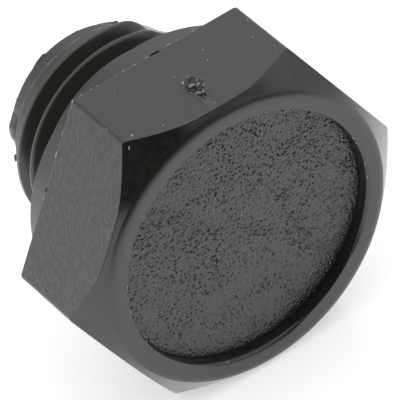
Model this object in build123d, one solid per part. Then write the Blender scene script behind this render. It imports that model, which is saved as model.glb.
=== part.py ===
from build123d import *
import math
import os

# A moulded hydraulic blanking plug: hexagon head with a raised rim round a shallow disc recess,
# a round sealing collar behind it, and a hollow G 1/4 threaded spigot.
# Millimetres. +Z is up. The thread axis lies along Y: the head's face looks to -Y and the spigot
# points to +Y. The origin is on the thread axis, in the plane of the sealing face.
# The plug lies on one flat of its hexagon.

# Hexagon head
ACROSS_FLATS = 19.0
HEX_HEIGHT = 6.5
HEX_CORNER_RADIUS = 0.3
BACK_EDGE_RADIUS = 0.15
CHAMFER_ANGLE = 30.0
CHAMFER_DEPTH_AT_CORNER = 1.67

# Raised rim, standing in from the flats, and the disc recess inside it
RIM_INSET = 0.075
RIM_WIDTH = 1.425
RIM_EDGE_RADIUS = 0.38
RECESS_DEPTH = 0.8
RECESS_CORNER_CHAMFER = 0.16

# Round collar, standing in from the flats, that carries the sealing face
COLLAR_INSET = 0.65
COLLAR_THICKNESS = 1.9
COLLAR_EDGE_CHAMFER = 0.1

# Pipe thread G 1/4, Whitworth form, 19 threads to the inch
THREAD_MAJOR_DIAMETER = 13.157
THREAD_PITCH = 25.4 / 19
THREAD_FLANK_ANGLE = 27.5
THREAD_DEPTH = 0.640327 * THREAD_PITCH
CREST_WIDTH = THREAD_PITCH / 6
CREST_PHASE_ANGLE = 120.0
CREST_PHASE_PLACE = -4.99

# Spigot: root fillet, relief a little below the thread's root, lead-in cone and plain pilot
SPIGOT_LENGTH = 8.0
ROOT_FILLET = 1.05
RELIEF_LENGTH = 0.25
RELIEF_CLEARANCE = 0.12
PILOT_LENGTH = 1.12
PILOT_STEP = 0.82
PILOT_EDGE_CHAMFER = 0.12

# Blind core hole in the spigot
PILOT_WALL = 1.2
CORE_DEPTH = 11.0
CORE_DRAFT_ANGLE = 0.5
CORE_MOUTH_CHAMFER = 0.3
CORE_FLOOR_CHAMFER = 0.5

# Scar of the moulding gate on the upper flat: a shallow dish with the broken stub in it
GATE_FROM_HEX_BACK = 3.85
GATE_DISH_DIAMETER = 1.25
GATE_DISH_DEPTH = 0.12
GATE_STUB_DIAMETER = 0.5

# How far a cutting form reaches past the surface that it cuts
CUT_OVERRUN = 0.1

# How closely an edge has to lie to the place where it is looked for
EDGE_MATCH = 0.0001

# Radii and heights that follow from the sizes above; heights run along the thread axis
FLAT_RADIUS = ACROSS_FLATS / 2
CORNER_RADIUS = FLAT_RADIUS / math.cos(math.radians(30))
RIM_RADIUS = FLAT_RADIUS - RIM_INSET
RECESS_RADIUS = RIM_RADIUS - RIM_WIDTH
COLLAR_RADIUS = FLAT_RADIUS - COLLAR_INSET
THREAD_RADIUS = THREAD_MAJOR_DIAMETER / 2
THREAD_ROOT_RADIUS = THREAD_RADIUS - THREAD_DEPTH
RELIEF_RADIUS = THREAD_ROOT_RADIUS - RELIEF_CLEARANCE
PILOT_RADIUS = THREAD_ROOT_RADIUS - PILOT_STEP
CORE_MOUTH_RADIUS = PILOT_RADIUS - PILOT_WALL
CORE_FLOOR_RADIUS = CORE_MOUTH_RADIUS - CORE_DEPTH * math.tan(math.radians(CORE_DRAFT_ANGLE))
HEAD_BACK = COLLAR_THICKNESS
HEAD_FRONT = HEAD_BACK + HEX_HEIGHT
RECESS_FLOOR = HEAD_FRONT - RECESS_DEPTH
RELIEF_END = -ROOT_FILLET - RELIEF_LENGTH
SPIGOT_END = -SPIGOT_LENGTH
PILOT_START = SPIGOT_END + PILOT_LENGTH
THREAD_END = PILOT_START + (THREAD_RADIUS - PILOT_RADIUS)
CORE_FLOOR = SPIGOT_END + CORE_DEPTH


def hexagon_prism():
    """The hexagon with rounded corners, flats facing +Y and -Y, from its back plane to the rim's land."""
    outline = RegularPolygon(FLAT_RADIUS, 6, major_radius=False)
    outline = fillet(outline.vertices(), HEX_CORNER_RADIUS)
    prism = extrude(Plane.XY.offset(HEAD_BACK) * outline, HEX_HEIGHT)
    back_edges = prism.faces().sort_by(Axis.Z)[0].edges()
    return fillet(back_edges, BACK_EDGE_RADIUS)


def turned(profile):
    """The solid that a closed profile of (radius, height) points sweeps round the thread axis."""
    return revolve(Plane.XZ * make_face(profile), Axis.Z)


def circle_at(shape, radius, height):
    """The circular edge of a turned shape that has this radius and lies at this height."""
    edges = shape.edges().filter_by(GeomType.CIRCLE)
    edges = edges.filter_by(lambda e: math.isclose(e.radius, radius, abs_tol=EDGE_MATCH))
    return edges.filter_by(lambda e: math.isclose(e.arc_center.Z, height, abs_tol=EDGE_MATCH))


def head_envelope():
    """The turned form that the hexagon is trimmed to: chamfer cone, raised rim and disc recess."""
    slope = math.tan(math.radians(CHAMFER_ANGLE))
    chamfer_low = HEAD_FRONT - CHAMFER_DEPTH_AT_CORNER
    rim_foot = chamfer_low + (CORNER_RADIUS - RIM_RADIUS) * slope
    outside = CORNER_RADIUS + CUT_OVERRUN
    profile = Polyline(
        (0, HEAD_BACK),
        (outside, HEAD_BACK),
        (outside, chamfer_low - CUT_OVERRUN * slope),
        (RIM_RADIUS, rim_foot),
        (RIM_RADIUS, HEAD_FRONT),
        (RECESS_RADIUS, HEAD_FRONT),
        (RECESS_RADIUS, RECESS_FLOOR),
        (0, RECESS_FLOOR),
        close=True,
    )
    envelope = turned(profile)
    envelope = fillet(circle_at(envelope, RIM_RADIUS, HEAD_FRONT), RIM_EDGE_RADIUS)
    return chamfer(circle_at(envelope, RECESS_RADIUS, RECESS_FLOOR), RECESS_CORNER_CHAMFER)


def collar():
    """The round collar whose rear face seals against the port."""
    disc = Pos(0, 0, COLLAR_THICKNESS / 2) * Cylinder(COLLAR_RADIUS, COLLAR_THICKNESS)
    return chamfer(circle_at(disc, COLLAR_RADIUS, 0), COLLAR_EDGE_CHAMFER)


def spigot_root():
    """The root of the spigot: a concave fillet that runs from the sealing face into the relief."""
    seat = RELIEF_RADIUS + ROOT_FILLET
    outline = Polyline(
        (RELIEF_RADIUS, -ROOT_FILLET),
        (0, -ROOT_FILLET),
        (0, COLLAR_THICKNESS / 2),
        (seat, COLLAR_THICKNESS / 2),
        (seat, 0),
    )
    arc = CenterArc((seat, -ROOT_FILLET), ROOT_FILLET, 90, 90)
    return turned([*outline.edges(), arc])


def spigot_envelope():
    """The turned form that the rod is trimmed to: relief, thread length, lead-in cone and pilot."""
    profile = Polyline(
        (0, -ROOT_FILLET),
        (RELIEF_RADIUS, -ROOT_FILLET),
        (RELIEF_RADIUS, RELIEF_END),
        (THREAD_RADIUS, RELIEF_END - (THREAD_RADIUS - RELIEF_RADIUS)),
        (THREAD_RADIUS, THREAD_END),
        (PILOT_RADIUS, PILOT_START),
        (PILOT_RADIUS, SPIGOT_END),
        (0, SPIGOT_END),
        close=True,
    )
    envelope = turned(profile)
    return chamfer(circle_at(envelope, PILOT_RADIUS, SPIGOT_END), PILOT_EDGE_CHAMFER)


def thread_groove():
    """The helical groove between the crests, from the relief to past the lead-in cone."""
    flare = math.tan(math.radians(THREAD_FLANK_ANGLE))
    root_half = (THREAD_PITCH - CREST_WIDTH) / 2 - THREAD_DEPTH * flare
    mouth_half = (THREAD_PITCH - CREST_WIDTH) / 2 + CUT_OVERRUN * flare
    mouth = THREAD_DEPTH + CUT_OVERRUN
    low = THREAD_END - (THREAD_DEPTH + mouth_half)
    high = RELIEF_END + RELIEF_LENGTH / 2
    turns_below = (low - CREST_PHASE_PLACE) / THREAD_PITCH - 0.5
    start_angle = CREST_PHASE_ANGLE + 360 * turns_below
    helix = Helix(THREAD_PITCH, high - low, THREAD_ROOT_RADIUS, center=(0, 0, low))
    section = Plane(origin=helix @ 0, x_dir=(1, 0, 0), z_dir=helix % 0)
    outline = Polyline(
        (0, -root_half),
        (0, root_half),
        (mouth, mouth_half),
        (mouth, -mouth_half),
        close=True,
    )
    groove = sweep(section * make_face(outline), path=helix, is_frenet=True)
    return Rot(0, 0, start_angle) * groove


def threaded_spigot():
    """A rod of the major diameter with the groove cut in it, trimmed to the spigot's turned form."""
    rod_length = SPIGOT_LENGTH + CUT_OVERRUN - ROOT_FILLET
    rod_middle = -ROOT_FILLET - rod_length / 2
    rod = Pos(0, 0, rod_middle) * Cylinder(THREAD_RADIUS, rod_length)
    threaded = rod - thread_groove()
    return threaded & spigot_envelope()


def core_hole():
    """The blind core hole, with draft, a chamfered floor and a chamfered mouth."""
    profile = Polyline(
        (0, SPIGOT_END - CUT_OVERRUN),
        (CORE_MOUTH_RADIUS + CORE_MOUTH_CHAMFER + CUT_OVERRUN, SPIGOT_END - CUT_OVERRUN),
        (CORE_MOUTH_RADIUS, SPIGOT_END + CORE_MOUTH_CHAMFER),
        (CORE_FLOOR_RADIUS, CORE_FLOOR),
        (0, CORE_FLOOR),
        close=True,
    )
    hole = turned(profile)
    return chamfer(circle_at(hole, CORE_FLOOR_RADIUS, CORE_FLOOR), CORE_FLOOR_CHAMFER)


def gate_scar():
    """The dish in the upper flat, without the stub that stands in it."""
    rim = GATE_DISH_DIAMETER / 2
    ball = (rim**2 + GATE_DISH_DEPTH**2) / (2 * GATE_DISH_DEPTH)
    place = Pos(0, FLAT_RADIUS, HEAD_BACK + GATE_FROM_HEX_BACK)
    dish = place * Pos(0, ball - GATE_DISH_DEPTH, 0) * Sphere(ball)
    stub = place * Rot(90, 0, 0) * Cylinder(GATE_STUB_DIAMETER / 2, 2 * GATE_DISH_DEPTH)
    return dish - stub


def plug_body():
    head = hexagon_prism() & head_envelope()
    body = head + collar() + spigot_root() + threaded_spigot()
    body = body - core_hole()
    body = body - gate_scar()
    return Rot(90, 0, 0) * body


os.makedirs("parts", exist_ok=True)
export_step(plug_body(), "parts/plug_body.step")
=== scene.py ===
import math

import bmesh
import bpy
from mathutils import Matrix, Vector, noise


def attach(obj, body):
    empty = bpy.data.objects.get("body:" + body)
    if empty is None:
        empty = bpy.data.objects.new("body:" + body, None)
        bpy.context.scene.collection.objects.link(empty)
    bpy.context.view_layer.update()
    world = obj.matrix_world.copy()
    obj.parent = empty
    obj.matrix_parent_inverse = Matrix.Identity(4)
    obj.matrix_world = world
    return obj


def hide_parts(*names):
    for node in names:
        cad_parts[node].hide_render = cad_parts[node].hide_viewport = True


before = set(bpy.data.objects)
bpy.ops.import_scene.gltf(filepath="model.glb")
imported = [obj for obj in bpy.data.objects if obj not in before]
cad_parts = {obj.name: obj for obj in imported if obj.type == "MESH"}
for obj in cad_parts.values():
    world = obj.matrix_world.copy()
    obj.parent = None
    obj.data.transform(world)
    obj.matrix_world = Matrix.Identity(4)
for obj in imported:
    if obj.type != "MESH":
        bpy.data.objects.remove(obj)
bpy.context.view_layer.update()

# The hydraulic blanking plug, dressed. Lengths in the shape functions are millimetres; MM turns
# them into metres. A section point is (radius, height): height runs along the thread axis from
# the sealing face, positive towards the head, so the row frame's y is minus the height. An angle
# is counted from +X towards +Z, seen from the head's face.

MM = 0.001

# Head. The rim and the chamfer have values for the lower side and for the upper side, blended in between.
FLAT = 9.5
CORNER = FLAT / math.cos(math.radians(30))
CORNER_ROUND = 0.3
HEX_BACK = 1.9
HEAD_FRONT = 8.4
CHAMFER_SLOPE = 1.05
CHAMFER_AT_CORNER = (6.41, 6.76)
CHAMFER_LEAST_SLOPE = 0.25
# How the rim's land rounds off to the chamfer, lower side and upper: (inner radius, outer radius, drop)
LAND = ((8.8, 9.15, 0.08), (8.5, 9.18, 0.16))
LAND_ROWS = 10
LAND_LAST = 0.95
# Angles between which the upper side's values come in, and between which they go out
UPPER_SIDE = (10, 60, 170, 215)
RECESS = 8.0
RECESS_FLOOR = 7.6
DISC = 7.98
DISC_SEAT = 7.42
COLLAR = 8.85
BACK_EDGE_ROUND = 0.05
COLLAR_EDGE_ROUND = 0.03
SPIGOT_ROOT_ROUND = 1.05

# The rim's inner edge: its rounding, and how much more it is worn at the bottom and at the right.
# The angles are those between which the wear comes in, and between which it goes out.
RECESS_EDGE_ROUND = 0.05
WORN_BOTTOM = (0.28, 225, 245, 278, 292)
WORN_RIGHT = (0.21, -45, -30, 2, 12)

# Heights of the rows on the flats: close ones in the middle, so that the gate scar can be raised
FLAT_TOP = 6.36
FLAT_ROWS_FROM = 6.34
FLAT_ROW_STEP = 0.04
FLAT_ROWS = 34
FLAT_ROWS_END = 4.9

# How much of its shorter side a rounding may take, and how far beside it a row holds the shading
ROUNDING_ROOM = 0.42
HOLD = 0.04
HOLD_SHARE = 0.1

# Points of the moulding that are nearer than this become one
WELD = 0.0002

# Where the finishes meet: the rim's outer radius and the depth of its finish, and by how much the
# middle of a face may miss the hexagon's back, the rim's edge or the flat that it belongs to
RIM = 9.18
RIM_FINISH_DEPTH = 0.3
BACK_SLACK = 0.01
RIM_SLACK = 0.02
FLAT_SLACK = 0.03

# Spigot
MAJOR = 6.5785
PITCH = 25.4 / 19
THREAD_ROUND = 0.137329 * PITCH
THREAD_DEPTH = 0.640327 * PITCH
FLANK = math.radians(27.5)
CREST_ANGLE = 120.0
CREST_HEIGHT = -4.99
RELIEF = 5.6025
RELIEF_END = -1.3
PILOT = 4.9025
PILOT_START = -6.88
LEAD_IN_SLOPE = 1.7
SPIGOT_END = -8.0
CORE_MOUTH = 3.7025
CORE_FLOOR = 3.0
CORE_FLOOR_RADIUS = 3.6065
CORE_FLOOR_ROUND = 0.5
PILOT_EDGE_ROUND = 0.12
CORE_MOUTH_CHAMFER = 0.3

# Crests of the thread. Where the mould's halves part they are cut to a small flat, on the lower side
# they are worn, and towards the end they are a little lower. The groove runs out between two angles
# that are counted along the helix, and so is the lower crest.
PARTING_ANGLE = 48.7
PARTING_FLAT = 6.36
PARTING_REACH = 30
WORN_CREST = 0.07
WORN_SIDE = (185, 215, 300, 340)
END_CREST_CUT = 0.045
END_CREST = (250, 400)
RUN_OUT = (45.0, 72.0)
THREAD_LAPS = range(-4, 3)

# Gate scar on the upper flat: the middle and half sizes of the torn oval, and the bar left in it.
# GATE_AREA is what the scar may move: degrees beside the flat's middle, lowest y, highest y.
# GATE_HOLLOW_SIDE is between which shares of the oval the hollow's side rises, and GATE_BAR_BREAK
# is where the bar is broken: share of its length, half width and depth of the gap.
GATE_ANGLE = 90.0
GATE_COLUMNS = 18
GATE_COLUMN_STEP = 0.2
GATE_AREA = (3.7, -6.6, -4.9)
GATE_MIDDLE = (0.0, -5.77)
GATE_HALF = (0.52, 0.8)
GATE_LEAN = math.radians(-12)
GATE_RIM = 0.05
GATE_RIM_WIDTH = 0.13
GATE_HOLLOW = 0.16
GATE_HOLLOW_SIDE = (0.5, 0.98)
GATE_BAR = ((-0.34, -5.56), (0.43, -5.86))
GATE_BAR_HEIGHT = 0.2
GATE_BAR_WIDTH = 0.1
GATE_BAR_BREAK = (0.62, 0.07, 0.8)
GATE_ROUGH = 7

# Flash round the spigot's end: (angle, radius, length from the end, how steep its near side is).
# It starts inside the pilot's wall at FLASH_INNER, and FLASH_FOOT is the radius of its near side.
END_FLASH = (
    (0.0, 5.0, 0.4, 1.0), (14.0, 5.05, 0.3, 1.0), (20.0, 5.3, 0.25, 1.0), (34.0, 5.3, 0.25, 1.0), (36.0, 4.7, 0.2, 1.0),
    (48.0, 4.7, 0.2, 1.0), (51.5, 5.05, 0.3, 1.0), (57.5, 4.94, 0.3, 1.0), (62.4, 4.91, 0.3, 1.0),
    (69.5, 4.85, 0.3, 1.0), (81.6, 4.78, 0.3, 1.0), (84.0, 4.88, 0.3, 1.0), (90.5, 4.84, 0.3, 1.0),
    (98.7, 4.74, 0.3, 1.0), (107.6, 4.78, 0.3, 1.0), (110.6, 4.85, 0.3, 1.0), (112.5, 4.98, 0.35, 1.0),
    (118.3, 4.94, 0.35, 1.0), (123.6, 4.86, 0.3, 1.0), (128.5, 4.78, 0.3, 1.0), (132.4, 4.86, 0.3, 1.0),
    (138.4, 4.8, 0.3, 1.0), (143.8, 4.8, 0.3, 1.0), (147.3, 4.88, 0.3, 1.0), (156.7, 4.89, 0.35, 1.0),
    (158.0, 4.92, 0.7, 3.0), (162.5, 4.98, 0.75, 3.0), (167.4, 5.09, 0.8, 2.2), (173.9, 5.05, 0.7, 2.0),
    (178.5, 4.97, 0.5, 2.0), (180.5, 4.7, 0.2, 1.0), (190.5, 4.7, 0.2, 1.0), (191.4, 5.2, 0.25, 1.0),
    (196.3, 5.33, 0.2, 1.0), (198.0, 5.0, 0.3, 1.0), (232.0, 5.06, 0.4, 1.0), (251.0, 4.97, 0.4, 1.0),
    (276.0, 5.08, 0.5, 1.0), (301.0, 4.7, 0.2, 1.0), (312.0, 5.03, 0.5, 1.0), (335.0, 4.98, 0.5, 1.0),
    (360.0, 5.0, 0.4, 1.0),
)
RING_STEP = 0.5
FLASH_INNER = 4.55
FLASH_FOOT = 4.86
FLASH_ROWS = (0.0, 0.12, 0.3, 0.5, 0.7, 0.88, 1.0)
FLASH_FAR = 0.015
# Its ragged edge: (depth, waves in a degree, place in the noise)
FLASH_RAGGED = ((0.018, 0.35, 1.0), (0.012, 1.4, 5.0))

# Fin on the hexagon's back edge, where the mould parts: (from angle, to angle, how far it stands out).
# Elsewhere it lies a little below the surface. It is FIN_DEPTH deep, and ragged like the flash.
BACK_FIN = ((88.0, 91.6, 0.1), (149.0, 151.4, 0.055), (283.0, 296.0, 0.07))
FIN_SUNK = -0.03
FIN_RAGGED = (0.016, 0.8, 9.0)
FIN_DEPTH = 0.2
FIN_HALF = 0.02

# Spark-eroded grain of the disc: cells across it, the size of a pit, the depth, and the edge left flat
GRAIN_CELLS = 306
GRAIN_SIZE = 0.17
GRAIN_DEPTH = 0.11
GRAIN_EDGE = 0.12
PIT_SPREAD = 0.62
DISC_UNDER = 0.02

# Torn flecks of plastic: (place, the way it faces, the way it runs, half length, half width, height)
UP = (0, 0, 1)
ALONG_X = (1, 0, 0)
SLANT = (0.571, 0.821, 0)
LEFT_FLAT = (-0.866, 0, 0.5)
DOWN_LEFT = (-0.5, 0, -0.866)
FLAT_FLECKS = (
    ((-0.36, -4.37, 9.5), UP, SLANT, 0.08, 0.03, 0.02),
    ((-0.01, -7.7, 9.5), UP, SLANT, 0.09, 0.035, 0.02),
    ((0.33, -6.47, 9.5), UP, SLANT, 0.1, 0.035, 0.04),
    ((-0.31, -5.15, 9.42), UP, (-0.51, -0.86, 0), 0.24, 0.084, 0.15),
    ((-0.44, -5.48, 9.42), UP, (-0.25, -0.97, 0), 0.15, 0.061, 0.15),
    ((0.16, -4.92, 9.44), UP, (-0.08, -1, 0), 0.1, 0.061, 0.13),
    ((-0.09, -5.65, 9.42), UP, (0.99, -0.17, 0), 0.25, 0.089, 0.18),
    ((0.29, -5.8, 9.42), UP, (1, 0.09, 0), 0.18, 0.084, 0.17),
    ((0.41, -5.44, 9.42), UP, (-0.39, -0.92, 0), 0.17, 0.05, 0.14),
    ((0.41, -6.08, 9.42), UP, (-0.44, -0.9, 0), 0.33, 0.05, 0.14),
    ((0.1, -6.5, 9.44), UP, (0.04, -1, 0), 0.11, 0.07, 0.13),
    ((-0.15, -6.4, 9.43), UP, (0.83, -0.56, 0), 0.21, 0.067, 0.14),
    ((-0.45, -6.17, 9.44), UP, (-0.42, -0.91, 0), 0.14, 0.045, 0.12),
    ((2.06, -3.61, 9.5), UP, SLANT, 0.08, 0.03, 0.02),
    ((1.77, -4.5, 9.5), UP, SLANT, 0.08, 0.03, 0.02),
    ((4.66, -4.71, 9.5), UP, SLANT, 0.08, 0.035, 0.02),
    ((5.29, -3.33, 9.5), UP, SLANT, 0.08, 0.03, 0.02),
    ((-4.78, -6.69, 9.5), UP, SLANT, 0.13, 0.05, 0.04),
    ((-3.08, -7.22, 9.5), UP, SLANT, 0.08, 0.03, 0.02),
    ((-3.4, -2.93, 9.5), UP, SLANT, 0.2, 0.008, 0.003),
    ((-5.45, -5.24, 9.44), UP, SLANT, 0.07, 0.04, 0.04),
    ((-5.31, -7.11, 9.2), (-0.3, -0.6, 0.7), SLANT, 0.12, 0.035, 0.03),
)
EDGE_FLECKS = (
    ((-5.5, -1.95, 9.43), UP, SLANT, 0.12, 0.05, 0.05),
    ((-4.89, -1.92, 9.5), UP, ALONG_X, 0.1, 0.03, 0.03),
    ((-4.26, -1.93, 9.5), UP, ALONG_X, 0.09, 0.035, 0.035),
    ((-3.83, -1.92, 9.5), UP, ALONG_X, 0.08, 0.03, 0.03),
    ((-3.1, -1.92, 9.5), UP, ALONG_X, 0.16, 0.016, 0.02),
    ((-2.6, -1.92, 9.5), UP, ALONG_X, 0.14, 0.02, 0.02),
    ((-2.08, -1.93, 9.5), UP, ALONG_X, 0.1, 0.045, 0.04),
    ((-1.36, -1.94, 9.5), UP, ALONG_X, 0.09, 0.04, 0.04),
    ((-0.53, -1.94, 9.5), UP, ALONG_X, 0.12, 0.045, 0.04),
    ((0.93, -1.92, 9.5), UP, ALONG_X, 0.14, 0.05, 0.05),
    ((1.52, -1.92, 9.5), UP, ALONG_X, 0.12, 0.035, 0.03),
    ((2.6, -1.92, 9.5), UP, ALONG_X, 0.1, 0.03, 0.03),
    ((-6.48, -1.92, 7.78), LEFT_FLAT, DOWN_LEFT, 0.22, 0.035, 0.035),
    ((-6.85, -1.92, 7.14), LEFT_FLAT, DOWN_LEFT, 0.18, 0.018, 0.02),
    ((-7.15, -1.93, 6.62), LEFT_FLAT, DOWN_LEFT, 0.24, 0.06, 0.05),
    ((-8.49, -1.93, 4.29), LEFT_FLAT, DOWN_LEFT, 0.14, 0.04, 0.03),
)

# The same on the rim's inner edge: (angle, half length, half width). They sit on its rounding,
# RIM_FLECK_SEAT of the rounding's radius in from its corner.
RIM_FLECK_SEAT = 0.29
RIM_FLECKS = ((169.4, 0.2, 0.04), (175.0, 0.12, 0.025), (181.8, 0.14, 0.04), (249.5, 0.12, 0.035),
              (18.4, 0.12, 0.045), (15.1, 0.1, 0.03), (2.2, 0.14, 0.035), (355.4, 0.12, 0.035),
              (48.0, 0.1, 0.03), (59.9, 0.08, 0.03), (65.4, 0.1, 0.03), (71.1, 0.1, 0.025), (74.9, 0.08, 0.03))

# Pale specks on the recess floor: (x, z, half length, half width), all of one height
RECESS_SPECK_HEIGHT = 0.05
RECESS_SPECK_LIFT = 0.01
RECESS_SPECKS = ((0.23, 1.06, 0.12, 0.04), (-2.66, -4.78, 0.05, 0.03), (-1.76, -5.77, 0.06, 0.03),
                 (5.47, 0.97, 0.05, 0.03), (6.4, 4.22, 0.06, 0.03), (0.92, 2.92, 0.05, 0.025))

# Studio, in metres, degrees and light levels. Seen in gloss, the table fades out to the front.
TABLE_RADIUS = 0.12
TABLE_BACK = 0.06
TABLE_COLOUR = (0.85, 0.85, 0.85, 1)
TABLE_GLOW = 0.5
TABLE_IN_GLOSS = 0.9
TABLE_FALL = (-0.085, -0.12)
# Dark sides of the room: (direction, inner degrees, outer degrees, light level inside)
DARK_SIDES = (((-0.26, -0.9, 0.35), 20, 44, 0.02), ((0.42, -0.9, -0.1), 8, 30, 0.35))
# Soft round lamps that look at the plug: (name, direction, distance, size, power)
LAMPS = (("lamp_behind", (0.34, 0.6, 0.75), 0.9, 0.7, 0.3), ("lamp_left", (-0.76, 0.6, 0.2), 0.9, 0.6, 0.3))

# Camera, fitted to the plug's edges in the photograph. Its place is in metres.
CAMERA_PLACE = (-0.1154, -0.2317, 0.2207)
CAMERA_RIGHT = (0.8106, -0.5637, -0.1586)
CAMERA_FORWARD = (0.3415, 0.6751, -0.6539)
CAMERA_LENS = 548.7

# Finishes. Scales of the patterns are counts per metre.
PLASTIC_IOR = 1.6
SCUFF_LEAN = math.radians(29)
PATCHES_PER_METRE = 260.0
STREAKS_PER_METRE = 7000.0
MARKS_PER_METRE = 8000.0
PALER_PATCH = 1.25
# Colour that the grain's pits are darkened to: painted shade
PIT_PAINTED_SHADE = (0.001, 0.001, 0.001)


def smooth(low, high, value):
    """0 at low, 1 at high, with soft ends."""
    share = min(1.0, max(0.0, (value - low) / (high - low)))
    return share * share * (3 - 2 * share)


def between(angle, rise_from, rise_to, fall_from, fall_to):
    """1 between two angles, with a soft rise before and a soft fall after."""
    return smooth(rise_from, rise_to, angle) * (1 - smooth(fall_from, fall_to, angle))


def hexagon_radius(angle):
    """How far the hexagon reaches from the axis at an angle in degrees, with its corners rounded."""
    off_flat = angle % 60 - 30
    off_corner = 30 - abs(off_flat)
    psi = math.radians(off_corner)
    centre = (FLAT - CORNER_ROUND) / math.cos(math.radians(30))
    reach = math.degrees(math.atan2(CORNER_ROUND * 0.5, centre + CORNER_ROUND * math.cos(math.radians(30))))
    if off_corner >= reach:
        return FLAT / math.cos(math.radians(off_flat))
    return centre * math.cos(psi) + math.sqrt(CORNER_ROUND**2 - (centre * math.sin(psi)) ** 2)


def column_angles():
    """Angles of the mesh's columns: even steps, closer at the hexagon's corners and at the gate scar."""
    angles = {float(step) for step in range(0, 361, 2)}
    for corner in range(0, 361, 60):
        for offset in (0.2, 0.4, 0.6, 0.79, 0.95, 1.3):
            angles.update((corner - offset, corner + offset))
    for step in range(-GATE_COLUMNS, GATE_COLUMNS + 1):
        angles.add(GATE_ANGLE + step * GATE_COLUMN_STEP)
    return sorted(angle for angle in angles if 0 <= angle <= 360)


def rounded(corners):
    """Section points through corners of (radius, height, rounding, arc steps, rows up to the next)."""
    rows = []
    for index, (r, z, rounding, steps, _) in enumerate(corners):
        here = Vector((r, z))
        if index in (0, len(corners) - 1):
            rows.append([here])
            continue
        back = Vector(corners[index - 1][:2]) - here
        ahead = Vector(corners[index + 1][:2]) - here
        room = ROUNDING_ROOM * min(back.length, ahead.length)
        half = back.angle(ahead) / 2
        reach = min(rounding / math.tan(half), room)
        u, v = back.normalized(), ahead.normalized()
        centre = here + (u + v).normalized() * (reach / math.cos(half))
        start, end = here + u * reach - centre, here + v * reach - centre
        turn = start.angle_signed(end)
        hold = min(HOLD, HOLD_SHARE * min(back.length, ahead.length))
        arc = [here + u * (reach + hold)]
        for step in range(steps + 1):
            arc.append(centre + Matrix.Rotation(-turn * step / steps, 2) @ start)
        arc.append(here + v * (reach + hold))
        rows.append(arc)
    points = []
    for index, arc in enumerate(rows):
        points += arc
        count = corners[index][4]
        if index + 1 < len(rows):
            first, last = arc[-1], rows[index + 1][0]
            points += [first.lerp(last, (k + 1) / (count + 1)) for k in range(count)]
    return points


def recess_edge(angle):
    """Rounding of the rim's inner edge, worn wider at the bottom and at the right."""
    bottom = WORN_BOTTOM[0] * between(angle, *WORN_BOTTOM[1:])
    right = WORN_RIGHT[0] * between((angle + 180) % 360 - 180, *WORN_RIGHT[1:])
    return RECESS_EDGE_ROUND + max(bottom, right)


def head_section(angle):
    """From the middle of the recess out over the rim, down a flat or corner, and in over the collar."""
    reach = hexagon_radius(angle)
    upper = between(angle, *UPPER_SIDE)
    start, outer, drop = (low + (high - low) * upper for low, high in zip(*LAND))
    power = 2 + upper
    low, high = CHAMFER_AT_CORNER
    edge = low + (high - low) * upper + (CORNER - reach) * CHAMFER_SLOPE
    edge = min(edge, HEAD_FRONT - drop - CHAMFER_LEAST_SLOPE * (reach - outer))
    recess = rounded([
        (0, DISC_SEAT, 0, 0, 3),
        (RECESS, DISC_SEAT, 0.03, 3, 2),
        (RECESS, HEAD_FRONT - 0.02, recess_edge(angle), 6, 1),
        (start, HEAD_FRONT, 0, 0, 0),
    ])
    rim = []
    for row in range(1, LAND_ROWS):
        share = row / LAND_ROWS
        rim.append(Vector((start + (outer - start) * row / LAND_ROWS, HEAD_FRONT - drop * share**power)))
    chamfer = rounded([
        (start + (outer - start) * LAND_LAST, HEAD_FRONT - drop * LAND_LAST**power, 0, 0, 0),
        (outer, HEAD_FRONT - drop, 0.03, 3, 1),
        (reach, edge, 0.05, 4, 0),
        (reach, FLAT_TOP, 0, 0, 0),
    ])
    flat = [Vector((reach, FLAT_ROWS_FROM - FLAT_ROW_STEP * row)) for row in range(FLAT_ROWS)]
    lower = rounded([
        (reach, FLAT_ROWS_END, 0, 0, 4),
        (reach, HEX_BACK, BACK_EDGE_ROUND, 4, 1),
        (COLLAR, HEX_BACK, 0.06, 3, 1),
        (COLLAR, 0, COLLAR_EDGE_ROUND, 4, 1),
        (RELIEF, 0, SPIGOT_ROOT_ROUND, 10, 0),
        (RELIEF, RELIEF_END, 0, 0, 0),
    ])
    return recess + rim + chamfer + flat + lower


def thread_turn():
    """One turn of the Whitworth form: (share of the pitch from the crest, depth below the crest)."""
    arc = math.radians(90) - FLANK
    turns = [arc * k / 3 for k in range(-3, 4)]
    crest = [(THREAD_ROUND * math.sin(turn), THREAD_ROUND * (1 - math.cos(turn))) for turn in turns]
    root = [(PITCH / 2 + along, THREAD_DEPTH - depth) for along, depth in crest]
    return crest + [(PITCH / 4, THREAD_DEPTH / 2)] + root + [(PITCH * 3 / 4, THREAD_DEPTH / 2)]


def spigot_envelope(height):
    """The radius of the turned form that the thread is trimmed to."""
    entry = RELIEF + (RELIEF_END - height)
    lead_in = PILOT + (height - PILOT_START) * LEAD_IN_SLOPE
    return min(MAJOR, entry, lead_in)


def crest_limit(angle):
    """How far the crests reach: less at the two parting flats and on the worn lower side."""
    limit = MAJOR - WORN_CREST * between(angle, *WORN_SIDE)
    for middle in (PARTING_ANGLE, PARTING_ANGLE + 180):
        off = abs((angle - middle + 180) % 360 - 180)
        if off < PARTING_REACH:
            limit = min(limit, PARTING_FLAT / math.cos(math.radians(off)))
    return limit


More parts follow.
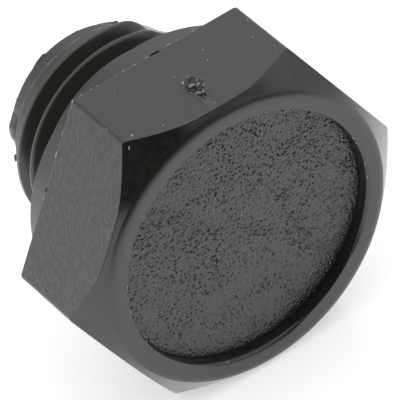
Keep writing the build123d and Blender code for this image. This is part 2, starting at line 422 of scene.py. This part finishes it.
def thread_section(angle, turn):
    """Rows down the thread at this angle. Each row follows the helix, so crests stay on one row."""
    rise = PITCH * (angle - CREST_ANGLE) / 360
    limit = crest_limit(angle)
    points = []
    for lap in THREAD_LAPS:
        for along, depth in turn:
            ridge = angle - 360 * (lap + (along > PITCH / 2))
            full = smooth(*RUN_OUT, ridge)
            height = CREST_HEIGHT + rise - lap * PITCH - along
            height = min(RELIEF_END, max(PILOT_START, height))
            radius = MAJOR - THREAD_DEPTH + (THREAD_DEPTH - depth) * full
            cut = MAJOR - END_CREST_CUT * (1 - smooth(*END_CREST, ridge))
            points.append(Vector((min(radius, limit, cut, spigot_envelope(height)), height)))
    return points


def end_section(angle):
    """The pilot, its end face and the core hole up to the middle of its floor."""
    return rounded([
        (PILOT, PILOT_START, 0, 0, 1),
        (PILOT, SPIGOT_END, PILOT_EDGE_ROUND, 4, 0),
        (CORE_MOUTH + CORE_MOUTH_CHAMFER, SPIGOT_END, 0.04, 2, 0),
        (CORE_MOUTH, SPIGOT_END + CORE_MOUTH_CHAMFER, 0.06, 3, 5),
        (CORE_FLOOR_RADIUS, CORE_FLOOR, CORE_FLOOR_ROUND, 5, 2),
        (0, CORE_FLOOR, 0, 0, 0),
    ])


def gate_lift(x, y):
    """How far the torn gate stands above the upper flat: a raised lip, a hollow and a bar across it."""
    u, v = x - GATE_MIDDLE[0], y - GATE_MIDDLE[1]
    across = (u * math.cos(GATE_LEAN) + v * math.sin(GATE_LEAN)) / GATE_HALF[0]
    along = (v * math.cos(GATE_LEAN) - u * math.sin(GATE_LEAN)) / GATE_HALF[1]
    out = math.hypot(across, along)
    rough = noise.noise(Vector((x, y, 3.0)) * GATE_ROUGH)
    lip = GATE_RIM * math.exp(-(((out - 1) / GATE_RIM_WIDTH) ** 2)) * (1 + rough)
    hollow = GATE_HOLLOW * (1 - smooth(*GATE_HOLLOW_SIDE, out)) * (1 + 0.7 * rough)
    start, end = Vector(GATE_BAR[0]), Vector(GATE_BAR[1])
    share = (Vector((x, y)) - start).dot(end - start) / (end - start).length_squared
    nearest = start.lerp(end, min(1.0, max(0.0, share)))
    off = (Vector((x, y)) - nearest).length
    gap, gap_half, gap_depth = GATE_BAR_BREAK
    broken = 1 - gap_depth * math.exp(-(((share - gap) / gap_half) ** 2))
    bar = GATE_BAR_HEIGHT * math.exp(-((off / GATE_BAR_WIDTH) ** 2)) * broken * (1 + 0.6 * rough)
    return lip - hollow + bar


def on_axis_frame(angle, point):
    """A section point at an angle as a place in the row frame, in metres."""
    a = math.radians(angle)
    return Vector((point.x * math.cos(a), -point.y, point.x * math.sin(a))) * MM


def on_moulding(angle, point):
    """A section point of the moulding, lifted where the gate has torn off."""
    place = on_axis_frame(angle, point)
    x, y = place.x / MM, place.y / MM
    beside, front, back = GATE_AREA
    if abs(angle - GATE_ANGLE) < beside and front < y < back:
        place.z += gate_lift(x, y) * MM
    return place


def grid_faces(bm, grid, around=False):
    """Quads between neighbouring columns of points."""
    columns = grid + grid[:1] if around else grid
    for left, right in zip(columns, columns[1:]):
        for row in range(len(left) - 1):
            bm.faces.new((left[row], left[row + 1], right[row + 1], right[row]))


def finished_piece(name, bm, sharp=None):
    """A smooth-shaded piece from a closed mesh, with its edges above an angle kept sharp."""
    bmesh.ops.recalc_face_normals(bm, faces=bm.faces)
    for face in bm.faces:
        face.smooth = True
    if sharp:
        for edge in bm.edges:
            edge.smooth = edge.calc_face_angle(0) < math.radians(sharp)
    mesh = bpy.data.meshes.new(name)
    bm.to_mesh(mesh)
    bm.free()
    piece = bpy.data.objects.new(name, mesh)
    bpy.context.scene.collection.objects.link(piece)
    return piece


def build_moulding():
    """The whole moulding as one closed mesh of angular sections."""
    turn = thread_turn()
    bm = bmesh.new()
    grid = []
    for angle in column_angles():
        section = head_section(angle) + thread_section(angle, turn) + end_section(angle)
        grid.append([bm.verts.new(on_moulding(angle, point)) for point in section])
    grid_faces(bm, grid)
    bmesh.ops.remove_doubles(bm, verts=bm.verts, dist=WELD * MM)
    bmesh.ops.dissolve_degenerate(bm, edges=bm.edges, dist=WELD * MM)
    return finished_piece("plug_moulding", bm)


def finish_zone(centre):
    """Which finish a face of the moulding has.

    0 the upper flat and the chamfers, 1 the rim, 2 the collar and spigot, 3 the other five flats.
    """
    radius = math.hypot(centre.x, centre.z) / MM
    height = -centre.y / MM
    if height < HEX_BACK + BACK_SLACK:
        return 2
    if radius < RIM + RIM_SLACK and height > HEAD_FRONT - RIM_FINISH_DEPTH:
        return 1
    angle = math.degrees(math.atan2(centre.z, centre.x))
    on_flat = radius > hexagon_radius(angle) - FLAT_SLACK
    return 3 if on_flat and abs(angle - 90) > 30 else 0


def end_flash_column(angle):
    """Section of the flash at an angle: hidden inside the pilot's wall, flared out at the spigot's end."""
    before = [row for row in END_FLASH if row[0] <= angle][-1]
    after = [row for row in END_FLASH if row[0] > angle][0]
    share = (angle - before[0]) / (after[0] - before[0])
    reach, length, steep = (low + (high - low) * share for low, high in zip(before[1:], after[1:]))
    for depth, waves, seed in FLASH_RAGGED:
        reach += depth * noise.noise(Vector((angle * waves, seed, 0.0)))
    near, far = SPIGOT_END + length, SPIGOT_END + FLASH_FAR
    column = [Vector((FLASH_INNER, near))]
    for share in FLASH_ROWS:
        radius = FLASH_FOOT + (reach - FLASH_FOOT) * min(1.0, share * steep)
        column.append(Vector((radius, near + (far - near) * share)))
    column.append(Vector((FLASH_INNER, far)))
    return column


def back_fin_column(angle):
    """Section of the fin on the hexagon's back edge."""
    depth, waves, seed = FIN_RAGGED
    proud = FIN_SUNK + depth * noise.noise(Vector((angle * waves, seed, 0.0)))
    proud += sum(extra * (low < angle < high) for low, high, extra in BACK_FIN)
    reach = hexagon_radius(angle)
    return [
        Vector((reach - FIN_DEPTH, HEX_BACK + 2 * FIN_HALF)),
        Vector((reach + proud, HEX_BACK + FIN_HALF)),
        Vector((reach + proud, HEX_BACK - FIN_HALF)),
        Vector((reach - FIN_DEPTH, HEX_BACK - FIN_HALF)),
    ]


def build_ring(name, column_at):
    """A closed ring round the axis whose section is given for every angle."""
    bm = bmesh.new()
    grid = []
    for step in range(int(360 / RING_STEP)):
        angle = step * RING_STEP
        column = column_at(angle)
        grid.append([bm.verts.new(on_axis_frame(angle, point)) for point in column])
    closed = [column + column[:1] for column in grid]
    grid_faces(bm, closed, around=True)
    return finished_piece(name, bm, sharp=35)


def disc_place(u, v):
    """A point of the square from -1 to 1 moved onto the round disc, in even cells."""
    if u == 0 and v == 0:
        return 0.0, 0.0
    if abs(u) > abs(v):
        return u * math.cos(math.pi / 4 * v / u), u * math.sin(math.pi / 4 * v / u)
    return v * math.sin(math.pi / 4 * u / v), v * math.cos(math.pi / 4 * u / v)


def grain_lift(x, z):
    """Height of the spark-eroded grain: rounded pits of random depth, flat at the disc's edge."""
    place = Vector((x, 0.3, z)) / GRAIN_SIZE
    distances, middles = noise.voronoi(place)
    depth = 0.35 + 0.85 * abs(noise.cell(middles[0] * 3.7))
    pit = depth * (1 - smooth(0.0, PIT_SPREAD, distances[0]))
    fine = noise.noise(place * 1.7 + Vector((7.0, 3.0, 1.0)))
    wide = 0.75 + 0.5 * noise.noise(place * 0.12)
    inside = 1 - smooth(DISC - GRAIN_EDGE, DISC, math.hypot(x, z))
    return GRAIN_DEPTH * (0.3 - pit + 0.35 * fine) * wide * inside


def build_disc():
    """The grained floor of the recess, a thin closed disc seated in the moulding."""
    bm = bmesh.new()
    grid = []
    for column in range(GRAIN_CELLS + 1):
        points = []
        for row in range(GRAIN_CELLS + 1):
            u, v = disc_place(2 * column / GRAIN_CELLS - 1, 2 * row / GRAIN_CELLS - 1)
            x, z = u * DISC, v * DISC
            points.append(bm.verts.new(Vector((x, -RECESS_FLOOR - grain_lift(x, z), z)) * MM))
        grid.append(points)
    grid_faces(bm, grid)
    last = GRAIN_CELLS
    edge = [grid[k][0] for k in range(last)] + [grid[last][k] for k in range(last)]
    edge += [grid[last - k][last] for k in range(last)] + [grid[0][last - k] for k in range(last)]
    under = [bm.verts.new(Vector((vert.co.x, -(DISC_SEAT - DISC_UNDER) * MM, vert.co.z))) for vert in edge]
    grid_faces(bm, [list(pair) for pair in zip(edge, under)], around=True)
    bm.faces.new(under)
    return finished_piece("disc_grain", bm, sharp=60)


def add_fleck(bm, place, faces, runs, half_length, half_width, height):
    """One small lens of torn plastic, sunk to its middle in the surface that it sits on."""
    normal = Vector(faces).normalized()
    along = Vector(runs)
    along = (along - normal * along.dot(normal)).normalized()
    side = normal.cross(along)
    turn = Matrix((along * half_length, side * half_width, normal * height)).transposed() * MM
    matrix = Matrix.Translation(Vector(place) * MM) @ turn.to_4x4()
    bmesh.ops.create_icosphere(bm, subdivisions=2, radius=1, matrix=matrix)


def rim_fleck(angle, half_length, half_width):
    """A fleck on the rim's inner edge, running round it."""
    a = math.radians(angle)
    worn = recess_edge(angle) * RIM_FLECK_SEAT
    out = RECESS + worn
    place = (out * math.cos(a), -HEAD_FRONT + worn, out * math.sin(a))
    faces = (-math.cos(a), -1.6, -math.sin(a))
    return place, faces, (-math.sin(a), 0, math.cos(a)), half_length, half_width, half_width * 0.8


def recess_speck(x, z, half_length, half_width):
    """A speck on the recess floor."""
    place = (x, -RECESS_FLOOR - RECESS_SPECK_LIFT, z)
    return place, (0, -1, 0), (0.4, 0, 1), half_length, half_width, RECESS_SPECK_HEIGHT


def build_flecks(name, flecks):
    """All flecks of one place as one piece."""
    bm = bmesh.new()
    for fleck in flecks:
        add_fleck(bm, *fleck)
    return finished_piece(name, bm)


def new_group(name, inputs, output):
    """An empty node group with named number or vector inputs and one named output."""
    group = bpy.data.node_groups.new(name, "ShaderNodeTree")
    for label, kind, value in inputs:
        socket = group.interface.new_socket(label, in_out="INPUT", socket_type=kind)
        if kind == "NodeSocketFloat":
            socket.default_value = value
    group.interface.new_socket(output, in_out="OUTPUT", socket_type="NodeSocketFloat")
    return group, group.nodes.new("NodeGroupInput"), group.nodes.new("NodeGroupOutput")


def math_node(nodes, links, operation, first, second):
    """A math node; each input is a socket or a number."""
    node = nodes.new("ShaderNodeMath")
    node.operation = operation
    for index, value in enumerate((first, second)):
        if isinstance(value, (int, float)):
            node.inputs[index].default_value = value
        else:
            links.new(value, node.inputs[index])
    return node.outputs[0]


def scaled(nodes, links, vector, factors):
    """A vector times three factors."""
    node = nodes.new("ShaderNodeVectorMath")
    node.operation = "MULTIPLY"
    links.new(vector, node.inputs[0])
    node.inputs[1].default_value = factors
    return node.outputs[0]


def noise_value(nodes, links, vector, scale, detail, roughness=0.5):
    """Noise over the surface, 0 to 1. The scale is a number or a socket."""
    node = nodes.new("ShaderNodeTexNoise")
    links.new(vector, node.inputs["Vector"])
    if isinstance(scale, (int, float)):
        node.inputs["Scale"].default_value = scale
    else:
        links.new(scale, node.inputs["Scale"])
    node.inputs["Detail"].default_value = detail
    node.inputs["Roughness"].default_value = roughness
    return node.outputs["Fac"]


def drawn_streaks_group():
    """Streaks across the thread axis, as the mould's polished flats print them: 0 to 1."""
    inputs = [("Vector", "NodeSocketVector", None), ("Per metre", "NodeSocketFloat", 9000.0)]
    group, given, result = new_group("drawn_streaks", inputs, "Height")
    nodes, links = group.nodes, group.links
    fine = scaled(nodes, links, given.outputs["Vector"], (0.06, 1.0, 0.06))
    broad = scaled(nodes, links, given.outputs["Vector"], (0.02, 0.3, 0.02))
    near = noise_value(nodes, links, fine, given.outputs["Per metre"], 2.0)
    far = noise_value(nodes, links, broad, given.outputs["Per metre"], 1.0)
    both = math_node(nodes, links, "ADD", near, far)
    links.new(math_node(nodes, links, "MULTIPLY", both, 0.5), result.inputs["Height"])
    return group


def fine_pits_group():
    """Small round pits and pimples that break the gloss: 0 to 1."""
    inputs = [("Vector", "NodeSocketVector", None), ("Per metre", "NodeSocketFloat", 12000.0)]
    group, given, result = new_group("fine_pits", inputs, "Height")
    nodes, links = group.nodes, group.links
    cells = nodes.new("ShaderNodeTexVoronoi")
    cells.feature = "SMOOTH_F1"
    links.new(given.outputs["Vector"], cells.inputs["Vector"])
    links.new(given.outputs["Per metre"], cells.inputs["Scale"])
    grain = noise_value(nodes, links, given.outputs["Vector"], given.outputs["Per metre"], 3.0)
    both = math_node(nodes, links, "ADD", cells.outputs["Distance"], grain)
    links.new(math_node(nodes, links, "MULTIPLY", both, 0.5), result.inputs["Height"])
    return group


def soft_patches_group():
    """Wide soft patches from handling and cooling, and a few finer ones in them: 0 to 1."""
    inputs = [("Vector", "NodeSocketVector", None), ("Per metre", "NodeSocketFloat", 250.0)]
    group, given, result = new_group("soft_patches", inputs, "Share")
    nodes, links = group.nodes, group.links
    wide = noise_value(nodes, links, given.outputs["Vector"], given.outputs["Per metre"], 4.0, 0.6)
    contrast = nodes.new("ShaderNodeMapRange")
    contrast.inputs["From Min"].default_value = 0.35
    contrast.inputs["From Max"].default_value = 0.65
    links.new(wide, contrast.inputs["Value"])
    links.new(contrast.outputs["Result"], result.inputs["Share"])
    return group


def short_marks_group():
    """Short scuffs that run across the thread axis, most of the surface clear of them: 0 to 1."""
    inputs = [("Vector", "NodeSocketVector", None), ("Per metre", "NodeSocketFloat", 8000.0)]
    group, given, result = new_group("short_marks", inputs, "Share")
    nodes, links = group.nodes, group.links
    turned = nodes.new("ShaderNodeMapping")
    turned.inputs["Rotation"].default_value = (SCUFF_LEAN, 0, 0)
    links.new(given.outputs["Vector"], turned.inputs["Vector"])
    drawn = scaled(nodes, links, turned.outputs["Vector"], (0.38, 1.0, 0.38))
    mark = noise_value(nodes, links, drawn, given.outputs["Per metre"], 1.5)
    contrast = nodes.new("ShaderNodeMapRange")
    contrast.inputs["From Min"].default_value = 0.42
    contrast.inputs["From Max"].default_value = 0.78
    links.new(mark, contrast.inputs["Value"])
    links.new(contrast.outputs["Result"], result.inputs["Share"])
    return group


def group_value(nodes, links, group, vector, per_metre):
    """A pattern group placed in a material, at this many waves to the metre."""
    node = nodes.new("ShaderNodeGroup")
    node.node_tree = group
    links.new(vector, node.inputs["Vector"])
    node.inputs["Per metre"].default_value = per_metre
    return node.outputs[0]


def ranged(nodes, links, value, low, high):
    """A share of 0 to 1 spread over a range."""
    node = nodes.new("ShaderNodeMapRange")
    links.new(value, node.inputs["Value"])
    node.inputs["To Min"].default_value = low
    node.inputs["To Max"].default_value = high
    return node.outputs["Result"]


def blend_colour(nodes, links, share, first, second):
    """Two colours mixed by a share; each is three numbers or a socket."""
    node = nodes.new("ShaderNodeMix")
    node.data_type = "RGBA"
    links.new(share, node.inputs["Factor"])
    # Inputs 6 and 7 are the two colours of a Mix node, and output 2 is its colour
    for index, colour in ((6, first), (7, second)):
        if isinstance(colour, tuple):
            node.inputs[index].default_value = (*colour, 1)
        else:
            links.new(colour, node.inputs[index])
    return node.outputs[2]


def height_share(nodes, links, place, low, high):
    """0 at one height over the sealing face, 1 at another, in millimetres."""
    along = nodes.new("ShaderNodeSeparateXYZ")
    links.new(place, along.inputs[0])
    share = nodes.new("ShaderNodeMapRange")
    links.new(along.outputs["Y"], share.inputs["Value"])
    share.inputs["From Min"].default_value = -low * MM
    share.inputs["From Max"].default_value = -high * MM
    return share.outputs["Result"]


def moulded_plastic(name, colour, dull, streaks, pits, pits_per_metre, scuffs=None, pit_shade_depths=None):
    """Black moulded plastic. dull is the roughness range; streaks and pits are depths in millimetres.

    scuffs is the colour of the short marks; pit_shade_depths are the heights of a grain's pits and tops, between which
    the pits are darkened with painted shade.
    """
    material = bpy.data.materials.new(name)
    material.use_nodes = True
    nodes, links = material.node_tree.nodes, material.node_tree.links
    shader = nodes["Principled BSDF"]
    shader.inputs["IOR"].default_value = PLASTIC_IOR
    place = nodes.new("ShaderNodeTexCoord").outputs["Object"]
    patches = group_value(nodes, links, SOFT_PATCHES, place, PATCHES_PER_METRE)
    streak = group_value(nodes, links, DRAWN_STREAKS, place, STREAKS_PER_METRE)
    pit = group_value(nodes, links, FINE_PITS, place, pits_per_metre)
    paler = tuple(share * PALER_PATCH for share in colour)
    skin = blend_colour(nodes, links, patches, colour, paler)
    if scuffs:
        marks = group_value(nodes, links, SHORT_MARKS, place, MARKS_PER_METRE)
        skin = blend_colour(nodes, links, marks, skin, scuffs)
    # Painted shade: the colour darkens from the grain's tops down into its pits
    if pit_shade_depths:
        skin = blend_colour(nodes, links, height_share(nodes, links, place, *pit_shade_depths), PIT_PAINTED_SHADE, skin)
    links.new(skin, shader.inputs["Base Color"])
    mixed = math_node(nodes, links, "MULTIPLY", math_node(nodes, links, "ADD", patches, streak), 0.5)
    links.new(ranged(nodes, links, mixed, *dull), shader.inputs["Roughness"])
    drawn = math_node(nodes, links, "MULTIPLY", streak, streaks * MM)
    pitted = math_node(nodes, links, "MULTIPLY", pit, pits * MM)
    bump = nodes.new("ShaderNodeBump")
    bump.inputs["Distance"].default_value = 1.0
    links.new(math_node(nodes, links, "ADD", drawn, pitted), bump.inputs["Height"])
    links.new(bump.outputs["Normal"], shader.inputs["Normal"])
    return material


def place_piece(piece, materials):
    """What every piece of the plug needs: its finishes and its body."""
    for material in materials:
        piece.data.materials.append(material)
    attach(piece, "root")


def add_camera():
    """The camera where the photograph was taken from, fitted to the plug's edges."""
    data = bpy.data.cameras.new("camera")
    data.lens = CAMERA_LENS
    data.sensor_width = 36
    data.clip_start = 0.01
    data.clip_end = 10
    camera = bpy.data.objects.new("camera", data)
    bpy.context.scene.collection.objects.link(camera)
    right = Vector(CAMERA_RIGHT)
    forward = Vector(CAMERA_FORWARD).normalized()
    right = (right - forward * right.dot(forward)).normalized()
    up = right.cross(forward)
    turn = Matrix((right, up, -forward)).transposed()
    camera.matrix_world = Matrix.Translation(CAMERA_PLACE) @ turn.to_4x4()
    bpy.context.scene.camera = camera


def add_area(name, direction, distance, size, power):
    """A soft round lamp that looks at the plug from a direction."""
    data = bpy.data.lights.new(name, "AREA")
    data.shape = "DISK"
    data.size = size
    data.energy = power
    lamp = bpy.data.objects.new(name, data)
    bpy.context.scene.collection.objects.link(lamp)
    lamp.location = Vector(direction).normalized() * distance
    lamp.rotation_euler = lamp.location.to_track_quat("Z", "Y").to_euler()


def add_floor():
    """A round white table top under the flat that the plug lies on."""
    mesh = bpy.data.meshes.new("floor")
    bm = bmesh.new()
    bmesh.ops.create_circle(bm, cap_ends=True, radius=TABLE_RADIUS, segments=96)
    bm.to_mesh(mesh)
    bm.free()
    floor = bpy.data.objects.new("floor", mesh)
    bpy.context.scene.collection.objects.link(floor)
    floor.location = (0, TABLE_BACK, -FLAT * MM)
    material = bpy.data.materials.new("table_white")
    material.use_nodes = True
    nodes, links = material.node_tree.nodes, material.node_tree.links
    shader = nodes["Principled BSDF"]
    shader.inputs["Base Color"].default_value = TABLE_COLOUR
    shader.inputs["Roughness"].default_value = 0.9
    shader.inputs["Specular IOR Level"].default_value = 0.0
    path = nodes.new("ShaderNodeLightPath")
    glow = math_node(nodes, links, "MULTIPLY", path.outputs["Is Camera Ray"], TABLE_GLOW)
    gloss = math_node(nodes, links, "MAXIMUM", path.outputs["Is Glossy Ray"], path.outputs["Is Transmission Ray"])
    depth = nodes.new("ShaderNodeSeparateXYZ")
    links.new(nodes.new("ShaderNodeTexCoord").outputs["Object"], depth.inputs[0])
    fall = nodes.new("ShaderNodeMapRange")
    fall.interpolation_type = "SMOOTHSTEP"
    links.new(depth.outputs["Y"], fall.inputs["Value"])
    fall.inputs["From Min"].default_value = TABLE_FALL[1]
    fall.inputs["From Max"].default_value = TABLE_FALL[0]
    fall.inputs["To Min"].default_value = 0
    fall.inputs["To Max"].default_value = TABLE_IN_GLOSS
    gloss = math_node(nodes, links, "MULTIPLY", gloss, fall.outputs["Result"])
    shader.inputs["Emission Color"].default_value = (1, 1, 1, 1)
    links.new(math_node(nodes, links, "MAXIMUM", glow, gloss), shader.inputs["Emission Strength"])
    floor.data.materials.append(material)
    return floor


def add_world():
    """White all round for the camera. What lights the plug and shows in its gloss has dark sides in front."""
    world = bpy.data.worlds.new("studio")
    bpy.context.scene.world = world
    world.use_nodes = True
    nodes, links = world.node_tree.nodes, world.node_tree.links
    back = nodes["Background"]
    place = nodes.new("ShaderNodeTexCoord")
    shares = []
    for direction, inner, outer, dark in DARK_SIDES:
        front = nodes.new("ShaderNodeVectorMath")
        front.operation = "DOT_PRODUCT"
        front.inputs[1].default_value = Vector(direction).normalized()
        links.new(place.outputs["Generated"], front.inputs[0])
        fall = nodes.new("ShaderNodeMapRange")
        fall.interpolation_type = "SMOOTHSTEP"
        fall.inputs["From Min"].default_value = math.cos(math.radians(outer))
        fall.inputs["From Max"].default_value = math.cos(math.radians(inner))
        fall.inputs["To Min"].default_value = 1
        fall.inputs["To Max"].default_value = dark
        links.new(front.outputs["Value"], fall.inputs["Value"])
        shares.append(fall.outputs["Result"])
    path = nodes.new("ShaderNodeLightPath")
    strength = nodes.new("ShaderNodeMapRange")
    strength.clamp = False
    links.new(path.outputs["Is Camera Ray"], strength.inputs["Value"])
    links.new(math_node(nodes, links, "MULTIPLY", *shares), strength.inputs["To Min"])
    strength.inputs["To Max"].default_value = 1
    back.inputs["Color"].default_value = (1, 1, 1, 1)
    links.new(strength.outputs["Result"], back.inputs["Strength"])


DRAWN_STREAKS = drawn_streaks_group()
FINE_PITS = fine_pits_group()
SOFT_PATCHES = soft_patches_group()
SHORT_MARKS = short_marks_group()

# The upper flat and the chamfers
flats_satin = moulded_plastic(
    "flats_satin", (0.0095, 0.0092, 0.0075), dull=(0.22, 0.3), streaks=0.002, pits=0.0006, pits_per_metre=9000.0,
    scuffs=(0.022, 0.022, 0.019))
# The other five flats, duller and scuffed
scuffed_satin = moulded_plastic(
    "scuffed_satin", (0.006, 0.0058, 0.0045), dull=(0.24, 0.34), streaks=0.006, pits=0.002, pits_per_metre=9000.0,
    scuffs=(0.06, 0.062, 0.056))
rim_satin = moulded_plastic(
    "rim_satin", (0.0135, 0.013, 0.0105), dull=(0.22, 0.28), streaks=0.0004, pits=0.0006, pits_per_metre=12000.0)
# The thread's base colour is raised above the head's to stand in for fill light that its grooves and flanks miss:
# painted light
thread_satin_painted_fill = moulded_plastic(
    "thread_satin_painted_fill", (0.021, 0.0205, 0.017), dull=(0.2, 0.28), streaks=0.0006, pits=0.0004, pits_per_metre=12000.0)
# The recess's grain, with painted shade in its pits
spark_grain = moulded_plastic(
    "spark_grain", (0.018, 0.0178, 0.0155), dull=(0.3, 0.38), streaks=0.0, pits=0.004, pits_per_metre=9000.0,
    pit_shade_depths=(7.5, 7.64))
thin_flash = moulded_plastic(
    "thin_flash", (0.02, 0.0195, 0.018), dull=(0.25, 0.35), streaks=0.0, pits=0.001, pits_per_metre=12000.0)
torn_plastic = moulded_plastic(
    "torn_plastic", (0.3, 0.29, 0.27), dull=(0.4, 0.55), streaks=0.0, pits=0.002, pits_per_metre=12000.0)

plug = build_moulding()
for face in plug.data.polygons:
    face.material_index = finish_zone(face.center)
place_piece(plug, [flats_satin, rim_satin, thread_satin_painted_fill, scuffed_satin])
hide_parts("plug_body")

place_piece(build_disc(), [spark_grain])
place_piece(build_ring("end_flash", end_flash_column), [thin_flash])
place_piece(build_ring("back_edge_fin", back_fin_column), [thin_flash])
place_piece(build_flecks("flat_flecks", FLAT_FLECKS), [torn_plastic])
place_piece(build_flecks("back_edge_flecks", EDGE_FLECKS), [torn_plastic])
place_piece(build_flecks("recess_specks", [recess_speck(*row) for row in RECESS_SPECKS]), [torn_plastic])
place_piece(build_flecks("rim_flecks", [rim_fleck(*row) for row in RIM_FLECKS]), [torn_plastic])

add_floor()
add_camera()
add_world()
for lamp in LAMPS:
    add_area(*lamp)

bpy.context.scene.view_settings.view_transform = "Standard"
